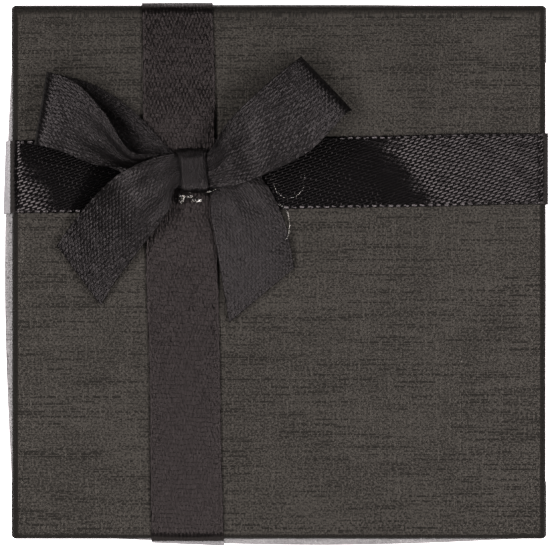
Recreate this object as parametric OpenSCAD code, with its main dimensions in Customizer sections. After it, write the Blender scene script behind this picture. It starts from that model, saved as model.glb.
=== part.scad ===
// Jewelry gift box: a lift-off lid over a shallow tray, both of greyboard covered
// with paper, an insert pad for the jewelry, and a satin ribbon dressing with a bow.
// Millimetres. +Z is up, -Y is the front, and the origin is under the middle of the box.

/* [Box] */
// Outside width of the lid, the same both ways
lid_w = 90; // [80:1:120]
// Height of the closed box, without its ribbon
box_h = 30; // [27:1:45]
// Height of the lid, from its rim to its top face
lid_h = 20; // [16:1:22]
// Radius of the lid's upright corners
corner_r = 1.2; // [0.8:0.1:2]
// Radius that the covering paper takes over the lid's top edges
edge_r = 1.5; // [0.8:0.1:1.6]
// How far the left wall's rim bows outward at its middle
left_bow = 1.3; // [0:0.1:1.3]
// How far the front wall's rim bows outward
front_bow = 1.1; // [0:0.1:1.3]

/* [Board and paper] */
// Thickness of the greyboard
board_t = 1.4; // [1:0.1:1.8]
// Thickness of the covering and lining paper
paper_t = 0.2; // [0.15:0.05:0.3]
// Thickness of the glue layer and the stay tape between board and covering
glue_t = 0.12; // [0.1:0.01:0.15]
// Depth of the covering paper folded over the rim into the lid
lid_turn_in = 14; // [8:1:15]
// Depth of the covering paper folded over the rim into the tray
tray_turn_in = 14; // [8:1:18]
// Clearance between the lid's inside and the tray, on each side
lid_clearance = 0.68; // [0.6:0.02:1]

/* [Insert pad] */
// Thickness of the foam
foam_t = 15; // [8:1:17]
// Thickness of the velvet facing
velvet_t = 0.6; // [0.4:0.1:1]
// Clearance between the pad and the tray's walls, on each side
pad_clearance = 0.33; // [0.3:0.01:0.6]

/* [Ribbon] */
// Width of the satin ribbon
ribbon_w = 12; // [9:1:12]
// Thickness of the ribbon
ribbon_t = 0.3; // [0.2:0.05:0.35]
// How far the ribbon's ends are tucked up inside the lid
tuck = 10; // [6:1:12]

/* [Bow] */
// Length of the knot band along the bow
knot_l = 5; // [4:0.5:6]
// Height of the knot
knot_h = 5.2; // [5.2:0.1:6]

/* [Hidden] */
$fn = 48;

// Depths below the covering's outer face, the same in the lid and in the tray
board_out = paper_t + glue_t;
board_in = board_out + board_t;
wall_t = board_in + paper_t;
slack = 0.1; // air between a ribbon and what it lies on

lid_half = lid_w / 2;
rim_z = box_h - lid_h;
side_z = box_h - edge_r; // where the lid's side ends and its rounded edge starts
tray_half = lid_half - wall_t - lid_clearance;
tray_h = box_h - wall_t;
tray_inner = tray_half - wall_t;
floor_z = paper_t + board_t + paper_t;
pad_half = tray_inner - pad_clearance;

// Each wall's outward bow at the lid's rim: [how far, where its peak is, half its spread],
// the last two as shares of half the wall. In order: right, back, left, front.
wall_bows = [[0, 0, 1], [0, 0, 1], [left_bow, 0, 1], [front_bow, 0.15, 0.95]];

// The lengthwise ribbon's middle at the back and at the front, and the crosswise one's
// middle at the left and at the right, as they were laid, a little off square
lengthwise_x = [-17.15, -15.4];
crosswise_y = [16, 17.45];
band_top = box_h + slack + ribbon_t;
crossing_top = band_top + slack + ribbon_t;

// Middle of the bow's knot, over the crossing of the two ribbons
knot_x = -14.7;
knot_y = 17.1;
knot_half_y = 3.8;
knot_wall = 0.4;
knot_base = crossing_top + 0.3;
knot_z = knot_base + knot_h / 2;

// ---- Curves ----

function between(a, b, t) = a + (b - a) * t;
function unit(v) = v / norm(v);
function sum_of(list) = [for (p = list) 1] * list;
function sorted(list) =
  len(list) < 2 ? list
    : let (p = list[0]) concat(sorted([for (x = list) if (x < p) x]), [p], sorted([for (x = list) if (x > p) x]));
function smooth(t) = let (c = min(max(t, 0), 1)) c * c * (3 - 2 * c);

// Outward bow of wall k at u, from -1 to 1 along the wall, and at height z
function bow_out(k, u, z) =
  let (b = wall_bows[k], s = (u - b[1]) / b[2], drop = max(box_h - z, 0) / lid_h)
  abs(s) < 1 ? b[0] * pow(1 - s * s, 1.5) * pow(drop, 1.6) : 0;

function turned(p, k) = k == 0 ? p : turned([-p[1], p[0]], k - 1);

wall_steps = 8;
corner_steps = 3;

// One level ring of the lid's wall, inset below the covering's outer face, at height z
function lid_ring(inset, z) =
  let (h = lid_half - inset, r = max(corner_r - inset, 0.25), s = h - r)
  [
    for (k = [0 : 3])
      for (i = [0 : wall_steps + corner_steps - 1])
        let (
          u = 2 * i / wall_steps - 1,
          a = 90 * (i - wall_steps) / corner_steps,
          p = i <= wall_steps ? [h + bow_out(k, s * u / lid_half, z), s * u]
            : [s + r * cos(a), s + r * sin(a)]
        )
        concat(turned(p, k), [z])
  ];

// Insets and heights from the top of a wall's side up round the edge to the top face,
// for a surface that is inset everywhere
function edge_profile(inset) =
  let (r = max(edge_r - inset, 0.1))
  [for (a = [0 : 30 : 90]) [edge_r - r * cos(a), side_z + r * sin(a)]];

// Heights at which every layer of the lid's wall has a ring, so that bowed layers fit
lap_z = rim_z + lid_turn_in; // top of the folded-in covering
dab_z = [rim_z + 4, rim_z + tuck - 1]; // of the glue under the ribbons' ends
stay_z = [rim_z + 1, side_z - 1];
lid_levels = sorted([
  rim_z, rim_z + paper_t, stay_z[0], dab_z[0], between(dab_z[0], dab_z[1], 0.5), dab_z[1], rim_z + tuck,
  lap_z, between(lap_z, stay_z[1], 0.5), stay_z[1], box_h - wall_t, box_h - board_in, side_z - 0.5
]);

// Insets and heights of a straight run from z0 to z1
function wall_profile(inset, z0, z1) =
  [for (z = concat([z0], [for (l = lid_levels) if (l > z0 + 0.01 && l < z1 - 0.01) l], [z1])) [inset, z]];

function reversed(list) = [for (i = [len(list) - 1 : -1 : 0]) list[i]];
function rings(profile) = [for (p = profile) lid_ring(p[0], p[1])];

// ---- Solids from lists of points ----

// A closed solid skinned over rings with equal numbers of points, each end closed by
// triangles about its middle. Each quad is split from its lower to its upper ring, so that
// two layers of a wall have the same facets
module ring_solid(ring_list) {
  n = len(ring_list[0]);
  m = len(ring_list);
  middles = [for (r = [ring_list[0], ring_list[m - 1]]) sum_of(r) / n];
  sides = [
    for (i = [0 : m - 2])
      for (j = [0 : n - 1])
        let (a = i * n + j, b = i * n + (j + 1) % n, upward = ring_list[i][j][2] < ring_list[i + 1][j][2])
        for (f = upward ? [[a, b, b + n], [a, b + n, a + n]] : [[a, b, a + n], [b, b + n, a + n]]) f
  ];
  first_cap = [for (j = [0 : n - 1]) [(j + 1) % n, j, m * n]];
  last_cap = [for (j = [0 : n - 1]) [(m - 1) * n + j, (m - 1) * n + (j + 1) % n, m * n + 1]];
  polyhedron(concat([for (r = ring_list) for (p = r) p], middles), concat(first_cap, sides, last_cap));
}

// A closed solid between two sheets of points, each a list of rows of equal length
module sheet_solid(upper, lower) {
  m = len(upper);
  n = len(upper[0]);
  function at(sheet, i, j) = (sheet * m + i) * n + j;
  quads = concat(
    [
      for (i = [0 : m - 2])
        for (j = [0 : n - 2])
          [at(0, i, j), at(0, i, j + 1), at(0, i + 1, j + 1), at(0, i + 1, j)]
    ],
    [
      for (i = [0 : m - 2])
        for (j = [0 : n - 2])
          [at(1, i, j), at(1, i + 1, j), at(1, i + 1, j + 1), at(1, i, j + 1)]
    ],
    [for (i = [0 : m - 2]) [at(0, i, 0), at(0, i + 1, 0), at(1, i + 1, 0), at(1, i, 0)]],
    [for (i = [0 : m - 2]) [at(0, i, n - 1), at(1, i, n - 1), at(1, i + 1, n - 1), at(0, i + 1, n - 1)]],
    [for (j = [0 : n - 2]) [at(0, 0, j), at(1, 0, j), at(1, 0, j + 1), at(0, 0, j + 1)]],
    [for (j = [0 : n - 2]) [at(0, m - 1, j), at(0, m - 1, j + 1), at(1, m - 1, j + 1), at(1, m - 1, j)]]
  );
  polyhedron(
    [for (sheet = [upper, lower]) for (row = sheet) for (p = row) p],
    [for (q = quads) for (f = [[q[0], q[1], q[2]], [q[0], q[2], q[3]]]) f]
  );
}

// ---- The tray ----

// An upright block with rounded corners, inset below the tray's outer face
module tray_block(inset, z0, z1) {
  h = tray_half - inset;
  r = max(1 - inset, 0.25);
  translate([0, 0, z0])
    linear_extrude(z1 - z0)
      union() {
        square([2 * h, 2 * (h - r)], center = true);
        square([2 * (h - r), 2 * h], center = true);
        for (x = [-1, 1], y = [-1, 1])
          translate([x * (h - r), y * (h - r)])
            circle(r);
      }
}

// The paper covering: under the floor, up the walls, over the rim and down inside
module base_wrap() {
  color("#423e3b")
    difference() {
      tray_block(0, 0, tray_h);
      tray_block(paper_t, paper_t, tray_h - tray_turn_in);
      difference() {
        tray_block(paper_t, tray_h - tray_turn_in - 1, tray_h - paper_t);
        tray_block(board_in, 0, tray_h);
      }
      tray_block(wall_t, tray_h - tray_turn_in - 1, tray_h + 1);
    }
}

module base_board() {
  color("#8c8880")
    difference() {
      tray_block(board_out, paper_t, tray_h - paper_t);
      tray_block(board_in, paper_t + board_t, tray_h);
    }
}

// Paper tape round each upright corner of the board, under the covering
module base_corner_stays() {
  stay_w = 12;
  stay_z0 = 1;
  color("#a08c6e")
    intersection() {
      difference() {
        tray_block(paper_t, stay_z0, tray_h - 1);
        tray_block(board_out, 0, tray_h);
      }
      union()
        for (x = [-1, 1], y = [-1, 1])
          translate([x * tray_half, y * tray_half, 0])
            linear_extrude(2 * tray_h)
              square(2 * stay_w, center = true);
    }
}

// The lining paper on the floor and up the walls as far as the folded-in covering
module base_lining() {
  color("#1c1b1b")
    difference() {
      tray_block(board_in, paper_t + board_t, tray_h - tray_turn_in);
      tray_block(wall_t, floor_z, tray_h);
    }
}

// ---- The insert pad ----

module pad_foam() {
  color("#2a2a2c")
    translate([-pad_half, -pad_half, floor_z])
      cube([2 * pad_half, 2 * pad_half, foam_t]);
}

module pad_velvet() {
  color("#141416")
    translate([-pad_half, -pad_half, floor_z + foam_t])
      cube([2 * pad_half, 2 * pad_half, velvet_t]);
}

// ---- The lid ----

module lid_wrap() {
  color("#423e3b")
    ring_solid(rings(concat(
      reversed(edge_profile(0)),
      reversed(wall_profile(0, rim_z, side_z - 0.5)),
      wall_profile(wall_t, rim_z, lap_z),
      reversed(wall_profile(board_in, rim_z + paper_t, lap_z)),
      wall_profile(paper_t, rim_z + paper_t, side_z - 0.5),
      edge_profile(paper_t)
    )));
}

module lid_board() {
  color("#8c8880")
    ring_solid(rings(concat(
      reversed(edge_profile(board_out)),
      reversed(wall_profile(board_out, rim_z + paper_t, side_z - 0.5)),
      wall_profile(board_in, rim_z + paper_t, box_h - board_in)
    )));
}

// The lining on the ceiling, lapped down the walls to the folded-in covering
module lid_lining() {
  color("#1c1b1b")
    ring_solid(rings(concat(
      reversed(wall_profile(board_in, lap_z, box_h - board_in)),
      wall_profile(wall_t, lap_z, box_h - wall_t)
    )));
}

// Paper tape round each upright corner of the lid's board, under the covering
module lid_corner_stays() {
  reach = 1; // steps along each wall, either side of the corner
  per_side = wall_steps + corner_steps;
  color("#a08c6e")
    for (k = [0 : 3]) {
      first = k * per_side + wall_steps - reach;
      picks = [for (i = [0 : corner_steps + 2 * reach]) (first + i) % (4 * per_side)];
      levels = wall_profile(0, stay_z[0], stay_z[1]);
      sheet_solid(
        [for (p = levels) let (r = lid_ring(paper_t, p[1])) [for (i = picks) r[i]]],
        [for (p = levels) let (r = lid_ring(board_out, p[1])) [for (i = picks) r[i]]]
      );
    }
}

// ---- The two ribbons round the lid ----

// Half of a ribbon's path, from its tucked end round the rim and up to the lid's top,
// as [inset, height]; out is how far the surface stands off the covering
function band_half(out) =
  let (inner = wall_t + out, bottom = rim_z - out)
  concat(
    reversed(wall_profile(inner, bottom, rim_z + tuck)),
    wall_profile(-out, bottom, side_z - 0.5),
    [for (a = [0 : 30 : 90]) [edge_r - (edge_r + out) * cos(a), side_z + (edge_r + out) * sin(a)]]
  );

// Places along the top, close together where one ribbon steps up onto the other
function top_rows(middle) = [for (d = [12, 10, 9, 8, 7, -7, -8, -9, -10, -12]) middle + d];

// A surface of a ribbon that runs along Y, or along X when across is true. middles is the
// ribbon's middle at the start and the end; hop is how far it rises over the other ribbon,
// at hop_at. Each row crosses the ribbon.
function band_surface(out, across, middles, hop, hop_at) =
  let (
    half = band_half(out),
    top = top_rows(hop_at),
    k0 = across ? 2 : 1,
    k1 = across ? 0 : 3,
    sign = across ? -1 : 1,
    rows = concat(
      [for (p = half) [sign * (lid_half - p[0]), p[1], k0]],
      [for (y = (across ? reversed(top) : top)) [y, box_h + out, -1]],
      [for (p = reversed(half)) [-sign * (lid_half - p[0]), p[1], k1]]
    )
  )
  [
    for (row = rows)
      [
        for (j = [0 : 4])
          let (
            b = between(middles[0], middles[1], 0.5 - sign * row[0] / lid_w) + ribbon_w * (j / 4 - 0.5),
            u = (row[2] == 1 || row[2] == 2 ? -1 : 1) * b / lid_half,
            wall = row[2] < 0 ? 0 : bow_out(row[2], u, row[1]),
            a = row[0] + (row[0] > 0 ? wall : -wall),
            rise = hop * smooth((10 - abs(row[0] - hop_at)) / 2.5) * (row[2] < 0 ? 1 : 0)
          )
          across ? [a, b, row[1] + rise] : [b, a, row[1] + rise]
      ]
  ];

// It lies over the crosswise one
module ribbon_lengthwise() {
  hop = slack + ribbon_t;
  color("#3a3433")
    sheet_solid(
      band_surface(slack + ribbon_t, false, lengthwise_x, hop, knot_y),
      band_surface(slack, false, lengthwise_x, hop, knot_y)
    );
}

module ribbon_crosswise() {
  color("#2b2828")
    sheet_solid(
      band_surface(slack, true, crosswise_y, 0, knot_x),
      band_surface(slack + ribbon_t, true, crosswise_y, 0, knot_x)
    );
}

// Dabs of glue that hold the four tucked ribbon ends to the inside of the lid
module ribbon_end_glue() {
  dab_w = 6;
  color("#d8d2c4")
    for (k = [0 : 3]) {
      middle = [crosswise_y[1], -lengthwise_x[0], -crosswise_y[0], lengthwise_x[1]][k];
      sheet_solid(
        [for (p = wall_profile(wall_t + slack - 0.01, dab_z[0], dab_z[1])) dab_row(k, middle, dab_w, p)],
        [for (p = wall_profile(wall_t + 0.04, dab_z[0], dab_z[1])) dab_row(k, middle, dab_w, p)]
      );
    }
}

function dab_row(k, middle, width, p) = [
  for (j = [0 : 2])
    let (b = middle + width * (j / 2 - 0.5))
    concat(turned([lid_half - p[0] + bow_out(k, b / lid_half, p[1]), b], k), [p[1]])
];

// ---- The bow ----

// The bow is one ribbon. Each stop gives its back edge and its front edge, measured from
// the middle of the knot: left tail, through the knot, right loop, back through the knot,
// left loop, and through the knot again to the right tail.
bow_stops = [
  [[-22.7, -12.6, -2.6], [-15.3, -22.7, -2.7]],
  [[-19.9, -8.6, -1.6], [-12.9, -18.7, -2.2]],
  [[-16.6, -4.6, 0.2], [-9.8, -14.6, -1.3]],
  [[-12.2, -0.6, 2.6], [-6.4, -10.2, -0.2]],
  [[-7.2, 1.8, 2.6], [-3.8, -6.4, 0.6]],
  [[-2.8, 2.8, 1.3], [-2.5, -2.8, 1.3]],
  [[2.5, 2.8, 1.3], [2.5, -2.8, 1.3]],
  [[6, 8, 3], [7, -2.6, 1.6]],
  [[11.2, 13.2, 4.2], [12.4, -0.6, 2.9]],
  [[15.6, 17, 3.2], [20, 3.4, 2.6]],
  [[18, 18.8, 1.4], [25.6, 9.2, 1.2]],
  [[18.3, 19.1, -0.1], [26.9, 10.1, -0.1]],
  [[17.6, 18.5, -1.3], [25.6, 9.2, -1.2]],
  [[12.6, 14.4, -2], [20, 3.6, -1.7]],
  [[7.4, 8.4, -1.5], [11.6, 0.4, -1.2]],
  [[2.5, 2.8, 0], [2.5, -2.8, 0]],
  [[-2.7, 2.8, 0], [-2.7, -2.8, 0]],
  [[-6.4, 2.8, 1.5], [-6.6, -0.8, -1.2]],
  [[-10.6, 3.4, 3.2], [-10.8, 0.6, -1.6]],
  [[-14.8, 9.8, 4.4], [-16, 1, -0.4]],
  [[-19.6, 14.9, 3.4], [-21.4, 3, 1.4]],
  [[-23.6, 16.4, 1.2], [-25.6, 4.2, 1]],
  [[-24.2, 16.6, -0.4], [-26.3, 4.3, -0.4]],
  [[-23.4, 16.4, -1.7], [-25.4, 4.2, -1.7]],
  [[-16.4, 14.4, -2.2], [-18.6, 2.4, -2.3]],
  [[-9.8, 10, -2], [-11.4, -0.4, -2.2]],
  [[-2.7, 2.8, -1.3], [-2.7, -2.8, -1.3]],
  [[2.5, 2.8, -1.3], [2.5, -2.8, -1.3]],
  [[7, 2, -1.6], [3.2, -4.4, -1.4]],
  [[12, -1.6, -1.9], [3.2, -7.4, -1.7]],
  [[15.2, -7.4, -2.2], [3.9, -11.4, -2]],
  [[16.4, -11.6, -2.5], [4.8, -16.6, -2.3]],
  [[17.3, -16.4, -2.7], [6.3, -25.6, -2.6]]
];
stop_steps = 4;

// A smooth curve through the stops, at t steps of one stop each
function curve_at(points, t) =
  let (
    n = len(points),
    i = min(floor(t), n - 2),
    f = t - i,
    p0 = points[max(i - 1, 0)],
    p1 = points[i],
    p2 = points[i + 1],
    p3 = points[min(i + 2, n - 1)]
  )
  p1 + 0.5 * f * (p2 - p0 + f * (2 * p0 - 5 * p1 + 4 * p2 - p3 + f * (3 * (p1 - p2) + p3 - p0)));

module bow_ribbon() {
  back = [for (s = bow_stops) s[0]];
  front = [for (s = bow_stops) s[1]];
  last = (len(bow_stops) - 1) * stop_steps;
  backs = [for (i = [0 : last]) curve_at(back, i / stop_steps)];
  fronts = [for (i = [0 : last]) curve_at(front, i / stop_steps)];
  mids = (backs + fronts) / 2;
  faces = [
    for (i = [0 : last])
      let (along = mids[min(i + 1, last)] - mids[max(i - 1, 0)])
      unit(cross(along, backs[i] - fronts[i])) * ribbon_t / 2
  ];
  color("#37312f")
    translate([knot_x, knot_y, knot_z])
      sheet_solid(
        [for (i = [0 : last]) [for (p = [fronts[i], backs[i]]) p + faces[i]]],
        [for (i = [0 : last]) [for (p = [fronts[i], backs[i]]) p - faces[i]]]
      );
}

// A flat-sided oval in the plane across the bow
module oval(half_y, half_z, r) {
  square([2 * half_y, 2 * (half_z - r)], center = true);
  square([2 * (half_y - r), 2 * half_z], center = true);
  for (y = [-1, 1], z = [-1, 1])
    translate([y * (half_y - r), z * (half_z - r)])
      circle(r);
}

// An oval ring of a given length around the bow's waist
module waist_ring(length, half_y, half_z, wall, r) {
  translate([knot_x, knot_y, knot_z])
    rotate([90, 0, 90])
      linear_extrude(length, center = true)
        difference() {
          oval(half_y, half_z, r);
          oval(half_y - wall, half_z - wall, r - wall);
        }
}

module bow_knot() {
  color("#332f2f")
    waist_ring(knot_l, knot_half_y, knot_h / 2, knot_wall, 1.3);
}

// The thread that gathers the three layers, hidden under the knot
module bow_binding_thread() {
  thread_d = 0.3;
  color("#161616")
    for (x = [-0.8, -0.4, 0, 0.4, 0.8])
      translate([x, 0, 0])
        waist_ring(thread_d, knot_half_y - knot_wall - 0.05, knot_h / 2 - knot_wall - 0.05, thread_d, 0.8);
}

// Clear hot-melt glue: the pad of it under the knot and the bead squeezed out in front
module bow_glue() {
  bead_r = 0.95;
  color("#e8e6e0")
    translate([knot_x, knot_y, crossing_top]) {
      translate([-2, -3.2, 0])
        cube([4, 6.4, knot_base - crossing_top]);
      hull()
        for (x = [-1.5, 0.4])
          translate([x, -knot_half_y - bead_r - 0.05, bead_r])
            sphere(bead_r, $fn = 20);
    }
}

base_wrap();
base_board();
base_corner_stays();
base_lining();
pad_foam();
pad_velvet();
lid_wrap();
lid_board();
lid_corner_stays();
lid_lining();
ribbon_lengthwise();
ribbon_crosswise();
ribbon_end_glue();
bow_ribbon();
bow_binding_thread();
bow_knot();
bow_glue();
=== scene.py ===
"""Looks of the jewelry gift box: paper covering, insert pad, satin ribbons and bow.

Lengths are millimetres, and become metres where a mesh is made. Only the lights and the
camera are placed in metres.
"""
import math

import bmesh
import bpy
import numpy as np
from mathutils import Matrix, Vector, noise


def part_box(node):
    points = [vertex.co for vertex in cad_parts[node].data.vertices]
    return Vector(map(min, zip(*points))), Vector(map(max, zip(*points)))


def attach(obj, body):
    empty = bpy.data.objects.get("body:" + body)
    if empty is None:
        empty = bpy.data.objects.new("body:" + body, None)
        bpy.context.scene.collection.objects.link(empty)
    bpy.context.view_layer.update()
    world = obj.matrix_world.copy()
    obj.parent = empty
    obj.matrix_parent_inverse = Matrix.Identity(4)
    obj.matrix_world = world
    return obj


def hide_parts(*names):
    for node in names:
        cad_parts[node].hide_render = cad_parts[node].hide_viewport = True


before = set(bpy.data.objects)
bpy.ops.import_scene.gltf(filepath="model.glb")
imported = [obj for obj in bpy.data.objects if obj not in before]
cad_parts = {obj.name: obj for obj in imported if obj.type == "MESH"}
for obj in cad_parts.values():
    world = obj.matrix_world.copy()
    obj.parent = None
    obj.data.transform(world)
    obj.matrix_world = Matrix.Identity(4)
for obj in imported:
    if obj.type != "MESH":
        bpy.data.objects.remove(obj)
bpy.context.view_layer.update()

MM = 0.001


def box_mm(node):
    """A CAD node's lowest and highest corners at rest, in millimetres."""
    lo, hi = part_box(node)
    return np.array(lo) / MM, np.array(hi) / MM


# ---- Sizes, from the frame ----

LID_LO, LID_HI = box_mm("lid_wrap")
_, TRAY_HI = box_mm("base_wrap")
_, STAY_HI = box_mm("base_corner_stays")
PAD_LO, PAD_HI = box_mm("pad_foam")
VELVET_LO, VELVET_HI = box_mm("pad_velvet")
LENGTHWISE_LO, LENGTHWISE_HI = box_mm("ribbon_lengthwise")
CROSSWISE_LO, CROSSWISE_HI = box_mm("ribbon_crosswise")
KNOT_LO, KNOT_HI = box_mm("bow_knot")
GLUE_LO, _ = box_mm("bow_glue")

LID_HALF = LID_HI[0]
LID_TOP = LID_HI[2]
LID_RIM = LID_LO[2]
LID_H = LID_TOP - LID_RIM
TRAY_HALF = TRAY_HI[0]
TRAY_TOP = TRAY_HI[2]
WALL_T = LID_TOP - TRAY_TOP  # covering, glue, board and lining together
PAPER_T = TRAY_HALF - STAY_HI[0]
RIBBON_W = 12.0
RIBBON_T = 0.3
SLACK = CROSSWISE_HI[2] - LID_TOP - RIBBON_T  # air under a ribbon
TUCK = 10.0  # how far a ribbon's ends go up inside the lid
TURN_IN = 14.0  # how far the coverings go in over the rims
KNOT = (KNOT_LO + KNOT_HI) / 2

# The satin's weave: pitch of the rows of floats, a float's length with its gap, the rows'
# slant, the share of the length that is float, and the share one row is ahead of the next
FINE_WEAVE = (0.3, 1.5, 0.0, 0.5, 0.49)
SLANTED_WEAVE = (0.46, 1.3, 0.33, 0.6, 0.618)
SOFT_WEAVE = (0.38, 1.2, 0.33, 0.52, 0.618)
BEAD_PITCH = 1.35

# Outward bow of each wall at the lid's rim, in the order right, back, left, front: (how far
# its outer face bows, how far the board bows, where the peak is, half its spread), the last
# two as shares of half the wall
BOARD_LEFT_BOW = -LID_LO[0] - LID_HALF
BOARD_FRONT_BOW = -LID_LO[1] - LID_HALF
WALL_BOWS = [
    (0.32, 0.0, 0.0, 1.0),
    (0.45, 0.0, 0.0, 1.0),
    (1.2 * BOARD_LEFT_BOW, BOARD_LEFT_BOW, 0.0, 1.0),
    (1.25 * BOARD_FRONT_BOW, BOARD_FRONT_BOW, 0.15, 0.95),
]


def turned(x, y, k):
    """(x, y) turned by k quarter turns."""
    for _ in range(k):
        x, y = -y, x
    return x, y


def smooth(t):
    """0 to 1 as t goes from 0 to 1, level at both ends."""
    t = min(max(t, 0.0), 1.0)
    return t * t * (3 - 2 * t)


def wall_bow(k, along, z, inset):
    """How far wall k of the lid bows outward at a place along it, a height and a depth into
    the wall. Its inside keeps to the board, so that the board stays covered."""
    outer, board, peak, spread = WALL_BOWS[k]
    amount = outer + (board - outer) * smooth(inset / WALL_T)
    s = (along / LID_HALF - peak) / spread
    drop = max(LID_TOP - z, 0) / LID_H
    return amount * (1 - s * s) ** 1.5 * drop**1.6 if abs(s) < 1 else 0.0


def waver(x, y, z, size, amount):
    """Smooth random value of about -amount to amount with features of a given size."""
    return amount * noise.noise(Vector((x, y, z)) / size)


# ---- Meshes ----


def placed(name, data):
    """A new object in the scene."""
    obj = bpy.data.objects.new(name, data)
    bpy.context.scene.collection.objects.link(obj)
    return obj


def mesh_object(name, blocks, weld=False, sharp=None):
    """A mesh from blocks of points, each (rows x columns x 3, rows x columns x 2 of UVs)."""
    verts, uvs, faces = [], [], []
    for points, coords in blocks:
        first = sum(len(v) for v in verts)
        m, n = points.shape[:2]
        verts.append(points.reshape(-1, 3))
        uvs.append(coords.reshape(-1, 2))
        i, j = np.meshgrid(np.arange(m - 1), np.arange(n - 1), indexing="ij")
        a = (first + i * n + j).ravel()
        faces.append(np.stack([a, a + 1, a + n + 1, a + n], axis=1))
    verts = np.concatenate(verts) * MM
    uvs = np.concatenate(uvs)
    faces = np.concatenate(faces)
    mesh = bpy.data.meshes.new(name)
    mesh.from_pydata(verts.tolist(), [], faces.tolist())
    layer = mesh.uv_layers.new(name="cloth")
    layer.data.foreach_set("uv", uvs[faces.ravel()].ravel())
    if weld:
        bm = bmesh.new()
        bm.from_mesh(mesh)
        bmesh.ops.remove_doubles(bm, verts=bm.verts, dist=1e-7)
        bmesh.ops.recalc_face_normals(bm, faces=bm.faces)
        bm.to_mesh(mesh)
        bm.free()
    mesh.polygons.foreach_set("use_smooth", [True] * len(mesh.polygons))
    if sharp:
        mesh.set_sharp_from_angle(angle=math.radians(sharp))
    return placed(name, mesh)


def thicken(obj, thickness):
    """Gives a sheet its thickness, half to each side."""
    mod = obj.modifiers.new("thickness", "SOLIDIFY")
    mod.thickness = thickness * MM
    mod.offset = 0
    mod.use_even_offset = False
    bpy.context.view_layer.objects.active = obj
    bpy.ops.object.modifier_apply(modifier=mod.name)


def finish_piece(obj, material, body, node):
    """Gives a piece its material and its body, in place of a CAD node."""
    obj.data.materials.append(material)
    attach(obj, body)
    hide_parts(node)


# ---- Materials ----


class Shader:
    """A material under construction: node() adds a node, and its inputs take numbers or sockets."""

    def __init__(self, name):
        self.material = bpy.data.materials.new(name)
        self.material.use_nodes = True
        self.tree = self.material.node_tree
        self.bsdf = self.tree.nodes["Principled BSDF"]

    def node(self, kind, inputs=(), **settings):
        made = self.tree.nodes.new(kind)
        for key, value in settings.items():
            setattr(made, key, value)
        for key, value in dict(inputs).items():
            self.feed(made.inputs[key], value)
        return made

    def feed(self, socket, value):
        if isinstance(value, bpy.types.NodeSocket):
            self.tree.links.new(value, socket)
        else:
            socket.default_value = value

    def math(self, operation, a, b=0.0, clamp=False):
        made = self.node("ShaderNodeMath", {0: a, 1: b}, operation=operation)
        made.use_clamp = clamp
        return made.outputs[0]

    def add(self, a, b):
        return self.math("ADD", a, b)

    def less(self, a, b):
        return self.math("SUBTRACT", a, b)

    def times(self, a, b, clamp=False):
        return self.math("MULTIPLY", a, b, clamp)

    def over(self, a, b, clamp=False):
        return self.math("DIVIDE", a, b, clamp)

    def ramp(self, value, low, high, out_low=0.0, out_high=1.0):
        """value from low to high, taken smoothly to out_low to out_high."""
        made = self.node(
            "ShaderNodeMapRange",
            {"Value": value, "From Min": low, "From Max": high, "To Min": out_low, "To Max": out_high},
            interpolation_type="SMOOTHSTEP",
        )
        return made.outputs["Result"]

    def hump(self, value, rise, fall):
        """1 between the ranges rise and fall, each from low to high, and 0 outside them."""
        return self.times(self.ramp(value, *rise), self.ramp(value, *fall, 1.0, 0.0))

    def noise(self, vector, scale=1.0, detail=2.0, rough=0.5):
        made = self.node(
            "ShaderNodeTexNoise",
            {"Vector": vector, "Scale": scale, "Detail": detail, "Roughness": rough},
        )
        return made.outputs["Fac"]

    def stretched(self, vector, x, y, z=1.0):
        made = self.node("ShaderNodeMapping", {"Vector": vector, "Scale": (x, y, z)})
        return made.outputs["Vector"]

    def mix(self, amount, a, b):
        made = self.node("ShaderNodeMix", {"Factor": amount}, data_type="RGBA")
        self.feed(made.inputs[6], a)
        self.feed(made.inputs[7], b)
        return made.outputs[2]

    def bump(self, height, distance, strength=1.0):
        """A bumpy normal: a height of 1 stands distance millimetres proud."""
        made = self.node(
            "ShaderNodeBump", {"Height": height, "Distance": distance * MM, "Strength": strength}
        )
        return made.outputs["Normal"]

    def cells(self, vector, scale):
        """Distance from the nearest of scattered points."""
        return self.node("ShaderNodeTexVoronoi", {"Vector": vector, "Scale": scale}).outputs["Distance"]

    def cloth_uv(self):
        """The piece's own flat coordinates, in millimetres."""
        return self.node("ShaderNodeUVMap", uv_map="cloth").outputs["UV"]

    def place(self):
        """Coordinates in the object's frame, in millimetres."""
        where = self.node("ShaderNodeTexCoord").outputs["Object"]
        return self.node(
            "ShaderNodeVectorMath", {0: where, "Scale": 1 / MM}, operation="SCALE"
        ).outputs[0]

    def split(self, vector):
        return self.node("ShaderNodeSeparateXYZ", {0: vector}).outputs

    def surface(self, **inputs):
        for key, value in inputs.items():
            self.feed(self.bsdf.inputs[key.replace("_", " ")], value)
        return self.material


def grey(value, warm=0.0):
    return (value * (1 + warm), value, value * (1 - warm), 1)


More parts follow.
